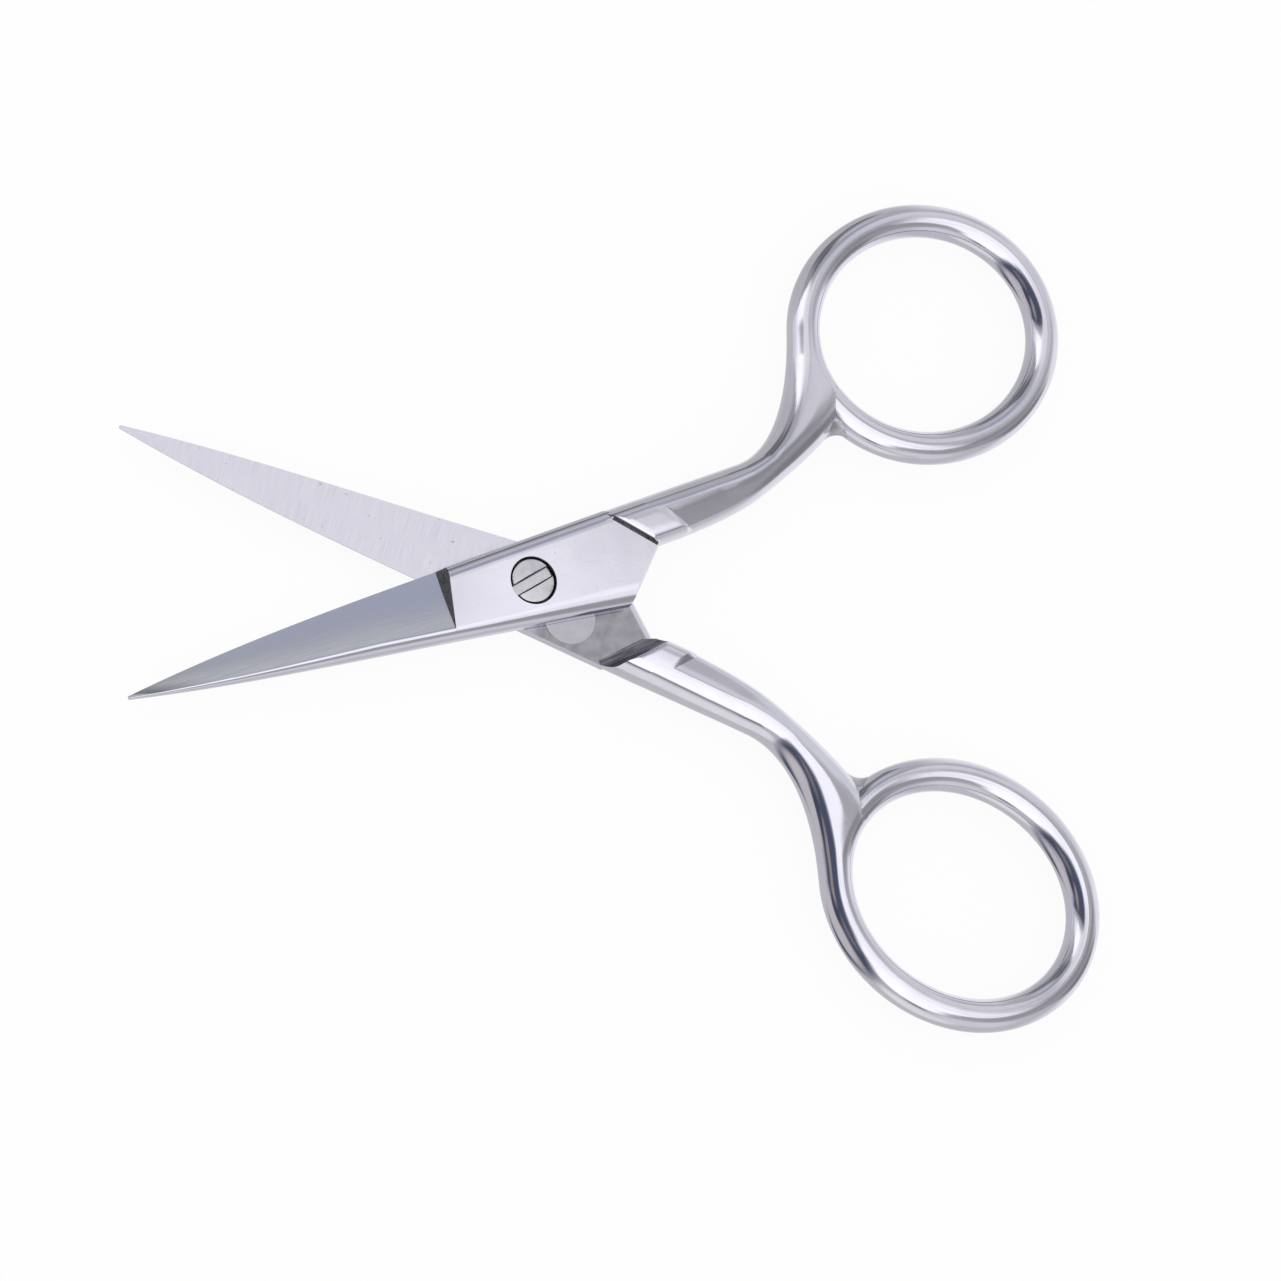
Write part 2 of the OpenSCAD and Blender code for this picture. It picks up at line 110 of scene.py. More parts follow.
# Where the cutters end, clear of the half: past it, below it, above it, and to both sides
FAR, BELOW, ABOVE, ASIDE = 60.0, -3.0, 6.0, 30.0
SHOULDER_REACH, SHOULDER_DEPTH, SHOULDER_ASIDE, TOE_REACH = 14.0, 12.0, 25.0, 9.0
UNDERCUT, PLATE_SPARE, BORE_LOW, BORE_HIGH, SLOT_ASIDE = 0.02, 1.0, -1.0, 4.0, 4.0

# Order of the material slots on both forgings. The root and the recess slots carry painted shade,
# and so does the dull steel on the web.
POLISHED, SHADED_ROOT, BEVEL, INNER, WORN_AND_SHADED, SHADED_RECESS = range(6)


def mix(a, b, u):
    return a + (b - a) * u


def ease(u):
    return u * u * (3 - 2 * u)


def vec(*v):
    return np.array(v, float)


def between(a, b, n):
    """n points from a up to, and without, b."""
    return [mix(a, b, i / n) for i in range(n)]


def bezier(p, u):
    v = 1 - u
    return v**3 * p[0] + 3 * v * v * u * p[1] + 3 * v * u * u * p[2] + u**3 * p[3]


def hermite(y0, y1, m0, m1, u):
    return (y0 * (1 - u) ** 2 * (1 + 2 * u) + y1 * u * u * (3 - 2 * u)
            + m0 * u * (1 - u) ** 2 - m1 * u * u * (1 - u))


def turned(p, deg):
    c, s = math.cos(math.radians(deg)), math.sin(math.radians(deg))
    return vec(p[0] * c - p[1] * s, p[0] * s + p[1] * c)


def arc(x, y, r, start, end, n):
    """n + 1 points on a circle, from one angle to another in degrees."""
    angles = [math.radians(mix(start, end, i / n)) for i in range(n + 1)]
    return [(x + r * math.cos(a), y + r * math.sin(a)) for a in angles]


def oval(grow, t):
    a = math.radians(t)
    p = vec((RING_A + grow) * math.cos(a), (RING_B + grow) * math.sin(a))
    return RING_C + turned(p, RING_LEAN)


def oval_dir(grow, t):
    a = math.radians(t)
    p = vec((RING_A + grow) * math.sin(a), -(RING_B + grow) * math.cos(a))
    return turned(p, RING_LEAN) / np.linalg.norm(p)


# Sections of the handle
UPPER_MID = (EDGE_OFFSET + UPPER_SLOPE * (HEEL_DIST + TAIL_DIST)) / (1 + UPPER_SLOPE)
BLOCK_OUT = vec(TAIL_DIST - UPPER_MID, UPPER_MID + PROUD)
BLOCK_IN = vec(TAIL_DIST - STOP_GAP, STOP_GAP)
FACET_OUT = BLOCK_OUT + BLOCK_LEN * vec(1, UPPER_SLOPE)
FACET_IN = BLOCK_IN + BLOCK_LEN * vec(1, INNER_SLOPE)
BEND_OUT = vec(BEND_DIST, EDGE_OFFSET + UPPER_SLOPE * (HEEL_DIST + BEND_DIST))
BEND_IN = vec(BEND_DIST + BEND_LAG, BEND_OUT[1] - BEND_W)
FACET_CURVE = [
    FACET_IN,
    FACET_IN + vec(*FACET_PULL),
    BEND_IN - SHANK_PULL * vec(1, BEND_SLOPE),
    BEND_IN,
]
OUT_CURVE = [
    BEND_OUT,
    BEND_OUT + OUT_PULL[0] * vec(1, UPPER_SLOPE),
    oval(R_WIRE, JOIN_OUT) - OUT_PULL[1] * oval_dir(R_WIRE, JOIN_OUT),
    oval(R_WIRE, JOIN_OUT),
]
IN_CURVE = [
    BEND_IN,
    BEND_IN + IN_PULL[0] * vec(1, BEND_SLOPE),
    oval(-R_WIRE, JOIN_IN) - IN_PULL[1] * oval_dir(-R_WIRE, JOIN_IN),
    oval(-R_WIRE, JOIN_IN),
]

# Points on half a section: inner round, facet, top and outer round
N_IN, N_FACET, N_TOP, N_OUT = 8, 10, 8, 14
# Stations along the handle, points along small and large rounds, and sides of screw and wheel
BLOCK_STEPS, RUN_OUT_STEPS, SHANK_STEPS, BEND_STEPS, WIRE_STEPS = 8, 8, 30, 70, 160
CORNER_STEPS, FILLET_STEPS, ROUND_SIDES, WHEEL_SIDES = 8, 16, 128, 180
# Width over which polishing has softened the edges of the shank and of the ring, the length over
# which the facet runs out at the block, and the toe of the root fillet in front of the block
SHANK_POLISH, RING_POLISH, RUN_OUT, TOE = 0.42, 0.1, 0.07, 0.54


def softened(loop, sigma):
    """A closed loop of points, each averaged with its neighbours by a bell curve of that width."""
    d = np.linalg.norm(np.roll(loop, -1, 0) - loop, axis=1)
    s = np.concatenate([[0], np.cumsum(d)])
    gap = np.abs(s[:-1, None] - s[None, :-1])
    gap = np.minimum(gap, s[-1] - gap)
    w = np.exp(-0.5 * (gap / sigma) ** 2) * ((d + np.roll(d, 1)) / 2)[None, :]
    return (w @ loop) / w.sum(1, keepdims=True)


def half_profile(w, h_out, h_in, part, r_out, r_in):
    """Upper half of a section: its height over its width, from the inner to the outer side."""
    r_out, r_in = min(r_out, MOST_ROUND * w), min(r_in, MOST_ROUND * w)
    facet = min(max(part * w, r_in + LEAST_FLAT * w), w - r_out - LEAST_FLAT * w)
    xs = [r_in * (1 - math.cos(math.pi / 2 * i / N_IN)) for i in range(N_IN)]
    xs += between(r_in, facet, N_FACET) + between(facet, w - r_out, N_TOP)
    xs += [w - r_out * (1 - math.cos(math.pi / 2 * i / N_OUT)) for i in range(N_OUT, -1, -1)]
    out = []
    for x in xs:
        cap = 1.0
        if x < r_in:
            cap = math.sqrt(max(0, 1 - (1 - x / r_in) ** 2))
        elif x > w - r_out:
            cap = math.sqrt(max(0, 1 - ((x - w + r_out) / r_out) ** 2))
        out.append(vec(x, cap * mix(h_in, h_out, min(1, x / facet))))
    return out


def section(outer, inner, h_out, h_in, part, r_out, r_in, r_low=0.0, polish=SHANK_POLISH):
    """A polished section between an outer and an inner point, as points in X, Y and Z."""
    w = np.linalg.norm(outer - inner)
    top = half_profile(w, h_out, h_in, part, r_out, r_in)
    low = half_profile(w, h_out, h_in, part, r_out, max(r_in, r_low))
    loop = softened(np.array(top + [p * vec(1, -1) for p in low[-2:0:-1]]), polish)
    xy = inner[None, :] + (outer - inner)[None, :] / w * loop[:, :1]
    return np.concatenate([xy, loop[:, 1:]], 1)


def block_station(u):
    return section(mix(BLOCK_OUT, FACET_OUT, u), mix(BLOCK_IN, FACET_IN, u),
                   BLOCK_H, BLOCK_H - BLOCK_FALL, BLOCK_CROWN,
                   OUTER_ROUND, INNER_ROUND, BLOCK_BEVEL)


def shank_station(u):
    step = vec(FACET_STEP * (1 - u), 0)
    return section(mix(FACET_OUT, BEND_OUT, u) + step, bezier(FACET_CURVE, u) + step,
                   BLOCK_H - SHANK_FALL * u, FACET_H - FACET_FALL * u,
                   FACET_PART, OUTER_ROUND, INNER_ROUND)


def bend_inner(u):
    if u < INNER_SPLIT:
        return bezier(IN_CURVE, u / INNER_SPLIT)
    return oval(-R_WIRE, mix(JOIN_IN, JOIN_OUT, (u - INNER_SPLIT) / (1 - INNER_SPLIT)))


def bend_station(u):
    web = ease(min(1, u / INNER_SPLIT))
    crotch = 4 * web * (1 - web)
    return section(bezier(OUT_CURVE, u), bend_inner(u),
                   mix(BLOCK_H - SHANK_FALL, R_WIRE, ease(u)),
                   mix(FACET_H - FACET_FALL, R_WIRE, web) - CROTCH_DIP * crotch,
                   mix(FACET_PART, MID_PART, u),
                   mix(OUTER_ROUND, R_WIRE, u),
                   mix(INNER_ROUND, R_WIRE, web) + CROTCH_ROUND * crotch,
                   polish=mix(SHANK_POLISH, RING_POLISH, u))


def wire_station(t, k=1.0):
    mid = oval(0, t)
    return section(mix(mid, oval(R_WIRE, t), k), mix(mid, oval(-R_WIRE, t), k),
                   R_WIRE * k, R_WIRE * k, MID_PART, R_WIRE * k, R_WIRE * k, polish=RING_POLISH)


# Web in the corner between the shank and the ring
HALVINGS, WEB_STEPS, WEB_LEVELS = 30, 16, 24


def on_oval(p):
    """A point seen from the ring, whose outer edge becomes a circle of radius 1."""
    q = turned(p - RING_C, -RING_LEAN)
    return vec(q[0] / (RING_A + R_WIRE), q[1] / (RING_B + R_WIRE))


def shank_corner():
    """Where the shank's inner side meets the ring: place on the curve, and angle on the ring."""
    low, high = 0.0, 1.0
    for _ in range(HALVINGS):
        middle = (low + high) / 2
        if np.linalg.norm(on_oval(bezier(IN_CURVE, middle))) < 1:
            high = middle
        else:
            low = middle
    q = on_oval(bezier(IN_CURVE, low))
    return low, math.degrees(math.atan2(q[1], q[0]))


CORNER_AT, CORNER_ANGLE = shank_corner()
CORNER = bezier(IN_CURVE, CORNER_AT)


def web_section(v):
    """A level of the web: a concave curve from shank to ring, with its back inside both."""
    along_shank = bezier(IN_CURVE, CORNER_AT - WEB_BACK) - CORNER
    along_ring = oval(R_WIRE, CORNER_ANGLE + WEB_TURN) - CORNER
    into_shank = -along_ring / np.linalg.norm(along_ring)
    into_ring = -along_shank / np.linalg.norm(along_shank)
    k, z = max(WEB_LEAST, 1 - abs(v) ** WEB_POWER), v * WEB_H
    sink = (WEB_INSET + WEB_SINK * (1 - math.sqrt(1 - v * v))) * into_shank
    a, c = bezier(IN_CURVE, CORNER_AT - WEB_BACK * k) + sink, CORNER + sink
    b = oval(math.sqrt(R_WIRE**2 - z * z) - WEB_INSET, CORNER_ANGLE + WEB_TURN * k)
    pts = [a + WEB_BED * into_shank]
    for i in range(WEB_STEPS + 1):
        u = i / WEB_STEPS
        pts.append(mix(mix(a, c, u), mix(c, b, u), u))
    pts += [b + WEB_BED * into_ring, c + 2 * WEB_BED * (into_shank + into_ring)]
    return np.array([(p[0], p[1], z) for p in pts])


# Sections of the blade and the joint plate: points on a section, and stations along the half
N_WALL, N_LOWER, N_FLAT, N_UPPER, N_UNDER = 6, 14, 24, 14, 24
BLADE_STEPS, HEEL_STEPS, PLATE_STEPS, TIP_CROWDING = 50, 12, 24, 1.2


def upper_edge(x):
    if x < -HEEL_DIST:
        return hermite(TIP_W / 2, EDGE_OFFSET,
                       EDGE_TAPER * GROUND_LEN, UPPER_SLOPE * GROUND_LEN,
                       (x + BLADE_LEN) / GROUND_LEN)
    return EDGE_OFFSET + UPPER_SLOPE * (x + HEEL_DIST)


def lower_edge(x):
    if x < -HEEL_DIST:
        return hermite(-TIP_W / 2, -SPINE_OFFSET,
                       -SPINE_TAPER * GROUND_LEN, -LOWER_SLOPE * GROUND_LEN,
                       (x + BLADE_LEN) / GROUND_LEN)
    return -SPINE_OFFSET - LOWER_SLOPE * (x + HEEL_DIST)


def lean_at(x):
    """How far a section leans, so that the heel is slanted."""
    away = LEAN_REACH[1] - abs(x + HEEL_DIST)
    return HEEL_SLANT * min(1, max(0, away / (LEAN_REACH[1] - LEAN_REACH[0])))


def outer_height(x, u):
    """Height of the ridge along the blade, or of the crowned plate."""
    if x < -HEEL_DIST:
        return mix(TIP_T, PLATE_T - CROWN, u**THINNING)
    return PLATE_T - CROWN * (max(0, CROWN_FROM - x) / (CROWN_FROM + HEEL_DIST)) ** 2


def belly(ya, za, yb, zb, k):
    """A point on a bevel with a soft belly between the wall and the flat."""
    a = math.pi / 2 * k
    return vec(mix(ya, yb, mix(k, 1 - math.cos(a), BELLY)),
               mix(za, zb, mix(k, math.sin(a), BELLY)))


def blade_station(x, climb):
    """A section of blade or plate. At the heel, climb goes from the ground face to the plate."""
    u = min(1, (x + BLADE_LEN) / GROUND_LEN)
    lean = lean_at(x)
    run = HEEL_RUN * (1 - climb) if x == -HEEL_DIST else 0
    rise = mix(1 - math.sqrt(1 - climb * climb), climb, FOOT_CORNER)
    top = outer_height(x, u)
    y0, y1 = lower_edge(x - lean * SPINE_OFFSET), upper_edge(x + lean * EDGE_OFFSET - run)
    grow = min(1, BEVEL_GROWTH[0] + u * BEVEL_GROWTH[1])
    sweep = BEVEL_SWEEP * ease(min(1, max(0, (x + HEEL_DIST) / (TAIL_DIST + HEEL_DIST))))
    y2 = y0 + min(BEVEL_LOWER * grow + sweep, BEVEL_SHARE[0] * (y1 - y0))
    y3 = y1 - min(BEVEL_UPPER * grow, BEVEL_SHARE[1] * (y1 - y0))
    wall = top - min(BEVEL_DEPTH * grow, BEVEL_SHARE[2] * top)
    edge = MATE_GAP + EDGE_LAND

    def ground(p):
        v = (p[0] - y2) / (y1 - y2)
        low = mix(top, edge, v) - 4 * HOLLOW * v * (1 - v) * top / PLATE_T
        return vec(p[0], mix(max(low, edge), p[1], rise))

    pts = between(vec(y0, MATE_GAP), vec(y0, wall), N_WALL)
    pts += [belly(y0, wall, y2, top, i / N_LOWER) for i in range(N_LOWER)]
    pts += [ground(vec(mix(y2, y3, i / N_FLAT), top)) for i in range(N_FLAT)]
    pts += [ground(belly(y1, wall, y3, top, 1 - i / N_UPPER)) for i in range(N_UPPER)]
    pts += between(ground(vec(y1, wall)), vec(y1, MATE_GAP), N_WALL)
    pts += between(vec(y1, MATE_GAP), vec(y0, MATE_GAP), N_UNDER)
    loop = np.array(pts)
    v = np.maximum(0, (loop[:, :1] - y2) / (y1 - y2))
    return np.concatenate([x + lean * loop[:, :1] - run * mix(FOOT_PART, 1, v), loop], 1)


# Materials. Every pattern reads the "grain" attribute: a piece's own place in millimetres.
def node(tree, kind, inputs, **settings):
    made = tree.nodes.new(kind)
    for key, value in settings.items():
        setattr(made, key, value)
    for key, value in inputs.items():
        if isinstance(value, bpy.types.NodeSocket):
            tree.links.new(value, made.inputs[key])
        else:
            made.inputs[key].default_value = value
    return made


def maths(tree, operation, a, b):
    return node(tree, "ShaderNodeMath", {0: a, 1: b}, operation=operation).outputs[0]


def spread(tree, value, low, high, start=0.3, end=0.7, smooth=False):
    """A value between start and end, moved to the range from low to high."""
    kind = "SMOOTHSTEP" if smooth else "LINEAR"
    inputs = {0: value, 1: start, 2: end, 3: low, 4: high}
    return node(tree, "ShaderNodeMapRange", inputs, interpolation_type=kind).outputs[0]


def blend(tree, factor, a, b):
    return node(tree, "ShaderNodeMix", {0: factor, 6: a, 7: b}, data_type="RGBA").outputs[2]


def noise(tree, grain, per_mm, detail=2.0):
    """Noise with its own number of features per millimetre in X, Y and Z."""
    scaled = node(tree, "ShaderNodeVectorMath", {0: grain, 1: per_mm}, operation="MULTIPLY")
    inputs = {"Vector": scaled.outputs[0], "Scale": 1.0, "Detail": detail}
    return node(tree, "ShaderNodeTexNoise", inputs).outputs["Fac"]


def dot(tree, vector, axis):
    made = node(tree, "ShaderNodeVectorMath", {0: vector, 1: axis}, operation="DOT_PRODUCT")
    return made.outputs["Value"]


def metal(name):
    """A bare metal material, its tree and shader, and the grain that its finish reads."""
    mat = bpy.data.materials.new(name)
    mat.use_nodes = True
    tree = mat.node_tree
    bsdf = tree.nodes["Principled BSDF"]
    bsdf.inputs["Metallic"].default_value = 1.0
    grain = node(tree, "ShaderNodeAttribute", {}, attribute_name="grain").outputs["Vector"]
    return mat, tree, bsdf, grain


def fill(tree, bsdf, colour, rough, heights):
    """Link colour, roughness and a chain of bumps given as height and depth in millimetres."""
    tree.links.new(colour, bsdf.inputs["Base Color"])
    tree.links.new(rough, bsdf.inputs["Roughness"])
    normal = None
    for height, depth in heights:
        inputs = {"Height": height, "Distance": depth * MM}
        if normal:
            inputs["Normal"] = normal
        normal = node(tree, "ShaderNodeBump", inputs).outputs[0]
    tree.links.new(normal, bsdf.inputs["Normal"])


def rgb(r, g, b):
    return (r, g, b, 1.0)


def grey(level, warm=0.0):
    return rgb(level * (1 + warm), level, level * (1 - warm))


def polished_steel():
    """Mirror polish, faintly wavy, with fine pits and hairlines."""
    mat, tree, bsdf, grain = metal("polished_steel")
    wave = noise(tree, grain, (0.35, 0.35, 0.35), 1.0)
    fine = noise(tree, grain, (5, 5, 5), 3.0)
    pits = spread(tree, noise(tree, grain, (6, 6, 6), 2.0), 0, 0.55, 0.70, 0.76)
    hairs = spread(tree, noise(tree, grain, (0.4, 8, 8), 2.0), 0, 0.09, 0.62, 0.72)
    colour = blend(tree, spread(tree, wave, 0, 1), rgb(0.79, 0.78, 0.875), rgb(0.75, 0.74, 0.84))
    colour = blend(tree, pits, colour, rgb(0.34, 0.33, 0.37))
    rough = maths(tree, "ADD", spread(tree, fine, 0.05, 0.1), hairs)
    fill(tree, bsdf, colour, rough, [(wave, 0.003), (fine, 0.0004), (hairs, 0.004)])
    return mat


# Direction in which the tail ends, the worn rim in front of that end, and the joint's start along X
TO_TAIL = (DIAGONAL, -DIAGONAL, 0)
TAIL_RIM, JOINT_START = (7.6, 9.0), (-1, 3)


def root_fillet():
    """Painted shade in the concave root of the shoulder, over coarse grinding with streaks along
    it.
    """
    mat, tree, bsdf, grain = metal("root_fillet")
    across = dot(tree, grain, (DIAGONAL, DIAGONAL, 0))
    along = dot(tree, grain, TO_TAIL)
    swept = node(tree, "ShaderNodeCombineXYZ", {0: along, 1: across}).outputs[0]
    streaks = noise(tree, swept, (0.3, 4, 1), 3.0)
    # Painted shade: both colours of the root fillet are kept dark, the first near black
    colour = blend(tree, spread(tree, streaks, 0, 1), rgb(0.09, 0.09, 0.11), rgb(0.42, 0.41, 0.46))
    fill(tree, bsdf, colour, spread(tree, streaks, 0.25, 0.38), [(streaks, 0.004)])
    return mat


def blade_bevel():
    """The hollow-ground face of the blade, with fine lines along it."""
    mat, tree, bsdf, grain = metal("blade_bevel")
    wave = noise(tree, grain, (0.15, 0.5, 0.5), 1.0)
    lines = noise(tree, grain, (0.25, 7, 7), 3.0)
    colour = blend(tree, spread(tree, lines, 0, 1), rgb(0.77, 0.785, 0.87), rgb(0.72, 0.735, 0.82))
    fill(tree, bsdf, colour, spread(tree, lines, 0.16, 0.22), [(wave, 0.004), (lines, 0.0005)])
    return mat


def ground_inner():
    """The flat inner side: pale with crosswise lines on the blade, darker at the joint."""
    mat, tree, bsdf, grain = metal("ground_inner_face")
    lines = noise(tree, grain, (11, 0.35, 1), 3.0)
    broad = noise(tree, grain, (1.6, 0.2, 1), 2.0)
    specks = noise(tree, grain, (1.5, 1.9, 1), 2.0)
    worn = noise(tree, grain, (0.9, 0.9, 1), 4.0)
    blade = blend(tree, spread(tree, lines, 0, 1), rgb(0.92, 0.905, 1.0), rgb(0.8, 0.79, 0.9))
    blade = blend(tree, spread(tree, broad, 0, 0.5), blade, rgb(0.84, 0.835, 0.94))
    blade = blend(tree, spread(tree, specks, 0, 0.6, 0.70, 0.76), blade, rgb(0.36, 0.36, 0.42))
    joint = blend(tree, spread(tree, worn, 0, 1), rgb(0.35, 0.34, 0.38), rgb(0.48, 0.47, 0.515))
    rim = spread(tree, dot(tree, grain, TO_TAIL), 0, 0.8, *TAIL_RIM, True)
    joint = blend(tree, rim, joint, rgb(0.62, 0.56, 0.53))
    at_joint = spread(tree, dot(tree, grain, (1, 0, 0)), 0, 1, *JOINT_START, True)
    colour = blend(tree, at_joint, blade, joint)
    fill(tree, bsdf, colour, spread(tree, lines, 0.28, 0.4), [(lines, 0.003), (worn, 0.004)])
    return mat


def worn_and_shaded_steel():
    """Dull steel: the ride pad, and the web that the polishing wheel hardly reaches, where its
    darker colour is also painted shade in the corner.
    """
    mat, tree, bsdf, grain = metal("worn_and_shaded_steel")
    worn = noise(tree, grain, (1.1, 1.1, 1), 4.0)
    lines = noise(tree, grain, (9, 0.8, 1), 2.0)
    colour = blend(tree, spread(tree, worn, 0, 1), rgb(0.5, 0.49, 0.545), rgb(0.62, 0.61, 0.67))
    fill(tree, bsdf, colour, spread(tree, worn, 0.2, 0.32), [(lines, 0.002)])
    return mat


def shaded_recess():
    """Unpolished, very dark steel with some dirt, painted as shade in the groove, the heel and the
    screw's seat.
    """
    mat, tree, bsdf, grain = metal("shaded_recess")
    dirt_and_shade = noise(tree, grain, (4, 4, 4), 4.0)
    # Painted shade: both colours are kept near black
    colour = blend(tree, spread(tree, dirt_and_shade, 0, 1), rgb(0.07, 0.07, 0.085), rgb(0.2, 0.195, 0.2))
    fill(tree, bsdf, colour, spread(tree, dirt_and_shade, 0.3, 0.5), [(dirt_and_shade, 0.02)])
    return mat


def screw_head():
    """Cloudy steel with fine scratches across the slot."""
    mat, tree, bsdf, grain = metal("screw_steel")
    cloud = noise(tree, grain, (1.3, 1.3, 1.3), 3.0)
    turning = turned((1, 0), -SLOT_TURN)
    along = dot(tree, grain, (turning[0], -turning[1], 0))
    across = dot(tree, grain, (turning[1], turning[0], 0))
    swept = node(tree, "ShaderNodeCombineXYZ", {0: along, 1: across}).outputs[0]
    scratches = noise(tree, swept, (14, 1.2, 1), 3.0)
    colour = blend(tree, spread(tree, cloud, 0, 1), rgb(0.60, 0.59, 0.63), rgb(0.80, 0.79, 0.83))
    colour = blend(tree, spread(tree, scratches, 0, 0.5, 0.55, 0.75), colour, rgb(0.45, 0.44, 0.47))
    fill(tree, bsdf, colour, spread(tree, cloud, 0.18, 0.34), [(cloud, 0.006), (scratches, 0.002)])
    return mat


def shaded_screw_slot():
    """Dark walls of the slot: painted shade, with some dirt."""
    mat, tree, bsdf, grain = metal("shaded_screw_slot")
    cloud = noise(tree, grain, (2.5, 2.5, 2.5), 3.0)
    # Painted shade: the slot's colours are kept near black
    colour = blend(tree, spread(tree, cloud, 0, 1), rgb(0.09, 0.09, 0.1), rgb(0.24, 0.235, 0.24))
    fill(tree, bsdf, colour, spread(tree, cloud, 0.3, 0.5), [(cloud, 0.02)])
    return mat


# Materials of the forgings, in the order of their slots, and of the screw
FORGED = [
    polished_steel(), root_fillet(), blade_bevel(), ground_inner(), worn_and_shaded_steel(), shaded_recess(),
]
TURNED = [screw_head(), shaded_screw_slot()]
HEAD, SHADED_SLOT = range(2)


# Meshes
def new_object(name, points, faces, materials, slots=None):
    mesh = bpy.data.meshes.new(name)
    mesh.from_pydata([tuple(p) for p in points], [], [tuple(int(i) for i in f) for f in faces])
    mesh.validate()
    for m in materials:
        mesh.materials.append(m)
    if slots is not None:
        mesh.polygons.foreach_set("material_index", np.array(slots, np.int32))
    mesh.update()
    obj = bpy.data.objects.new(name, mesh)
    bpy.context.scene.collection.objects.link(obj)
    return obj


def loft(name, stations, slot_of):
    """A closed skin over sections of equal count, with caps at both ends."""
    m, n = len(stations), len(stations[0])
    faces, slots = [], []
    for j in range(m - 1):
        for i in range(n):
            k = (i + 1) % n
            faces.append((j * n + i, j * n + k, (j + 1) * n + k, (j + 1) * n + i))
            slots.append(slot_of(j, i))
    faces.append(tuple(range(n - 1, -1, -1)))
    faces.append(tuple((m - 1) * n + i for i in range(n)))
    slots += [slot_of(0, 0), slot_of(m - 2, 0)]
    return new_object(name, np.concatenate(stations), faces, FORGED, slots)


def prism(name, outline, low, high, materials, slot):
    """An outline in X and Y, counter-clockwise, drawn up from low to high."""
    n = len(outline)
    pts = [(x, y, low) for x, y in outline] + [(x, y, high) for x, y in outline]
    faces = [(i, (i + 1) % n, n + (i + 1) % n, n + i) for i in range(n)]
    faces += [tuple(range(n - 1, -1, -1)), tuple(range(n, 2 * n))]
    return new_object(name, pts, faces, materials, [slot] * len(faces))


def lathe(name, outline, materials, slot, sides=ROUND_SIDES):
    """An outline of radius and height, from the axis below to the axis above, turned about Z."""
    pts, rows, faces = [], [], []
    for r, z in outline:
        count = 1 if r == 0 else sides
        start = len(pts)
        pts += [(x, y, z) for x, y in arc(0, 0, r, 0, 360, sides)[:count]]
        rows.append([start + i % count for i in range(sides)])
    for a, b in zip(rows[:-1], rows[1:]):
        for i in range(sides):
            k = (i + 1) % sides
            faces.append(list(dict.fromkeys((a[i], a[k], b[k], b[i]))))
    return new_object(name, pts, faces, materials, [slot] * len(faces))


def applied(obj):
    """Make the result of an object's modifier its mesh."""
    bpy.context.view_layer.update()
    dg = bpy.context.evaluated_depsgraph_get()
    made = bpy.data.meshes.new_from_object(obj.evaluated_get(dg))
    obj.modifiers.clear()
    old = obj.data
    obj.data = made
    bpy.data.meshes.remove(old)


def combine(obj, other, operation, own=False):
    m = obj.modifiers.new("join", "BOOLEAN")
    m.operation, m.object, m.solver = operation, other, "EXACT"
    m.use_self = own
    applied(obj)
    bpy.data.objects.remove(other)
    return obj


def cleaned(mesh):
    """Join the points that the booleans leave almost on each other."""
    bm = bmesh.new()
    bm.from_mesh(mesh)
    bmesh.ops.remove_doubles(bm, verts=bm.verts, dist=WELD)
    bmesh.ops.dissolve_degenerate(bm, edges=bm.edges, dist=WELD)
    bm.to_mesh(mesh)
    bm.free()


def rotation(degrees, axis):
    return Matrix.Rotation(math.radians(degrees), 4, axis)


def place(obj, turn, flip):
    """Keep the grain, and go from the piece's own frame in mm to the row frame in metres."""
    mesh = obj.data
    cleaned(mesh)
    co = np.empty(3 * len(mesh.vertices), np.float32)
    mesh.vertices.foreach_get("co", co)
    mesh.attributes.new("grain", "FLOAT_VECTOR", "POINT").data.foreach_set("vector", co)
    mesh.shade_smooth()
    mesh.set_sharp_from_angle(angle=math.radians(SHARP_ANGLE))
    obj.modifiers.new("normals", "WEIGHTED_NORMAL").keep_sharp = True
    applied(obj)
    mesh = obj.data
    m = Matrix.Translation((0, 0, PLATE_T * MM)) @ rotation(turn, "Z")
    if flip:
        m = m @ rotation(180, "X")
    mesh.transform(m @ Matrix.Scale(MM, 4))
    mesh.update()


def blade_slot(j, i):
    """Material of a face of the blade and plate, by its station and its place on the section."""
    ground_from = N_WALL + N_LOWER
    ground_to = ground_from + N_FLAT + N_UPPER
    if ground_from <= i < ground_to:
        if j <= BLADE_STEPS:
            return BEVEL
        # The heel's climb gets the very dark recess steel: painted shade
        if j <= BLADE_STEPS + HEEL_STEPS:
            return SHADED_RECESS
    return INNER if i >= ground_to + N_WALL else POLISHED


def slanted(obj, turn):
    """From an outline of length and height to a bar across the half, turned about Z."""
    obj.data.transform(rotation(turn, "Z") @ rotation(90, "X"))
    return obj


def shoulder_cutter():
    """Room for the other half's tail, with a fillet at its root."""
    back = SHOULDER + SETBACK
    low, front_end, edge = -SHOULDER_DEPTH, back - SHOULDER_REACH, back + CORNER_ROUND
    outline = [(front_end, low), (edge, low)]
    outline += arc(edge, CORNER_ROUND - BLOCK_H, CORNER_ROUND, 270, 180, CORNER_STEPS)
    polished = len(outline)
    outline += arc(back - ROOT_FILLET, MATE_GAP - ROOT_FILLET, ROOT_FILLET, 0, 90, FILLET_STEPS)
    outline += [(front_end, MATE_GAP)]
    # The fillet's faces get the very dark root steel, which is painted shade
    cutter = prism("cutter", outline, -SHOULDER_ASIDE, SHOULDER_ASIDE, FORGED, SHADED_ROOT)
    for face in list(cutter.data.polygons)[:polished]:
        face.material_index = POLISHED
    return slanted(cutter, SLANT)


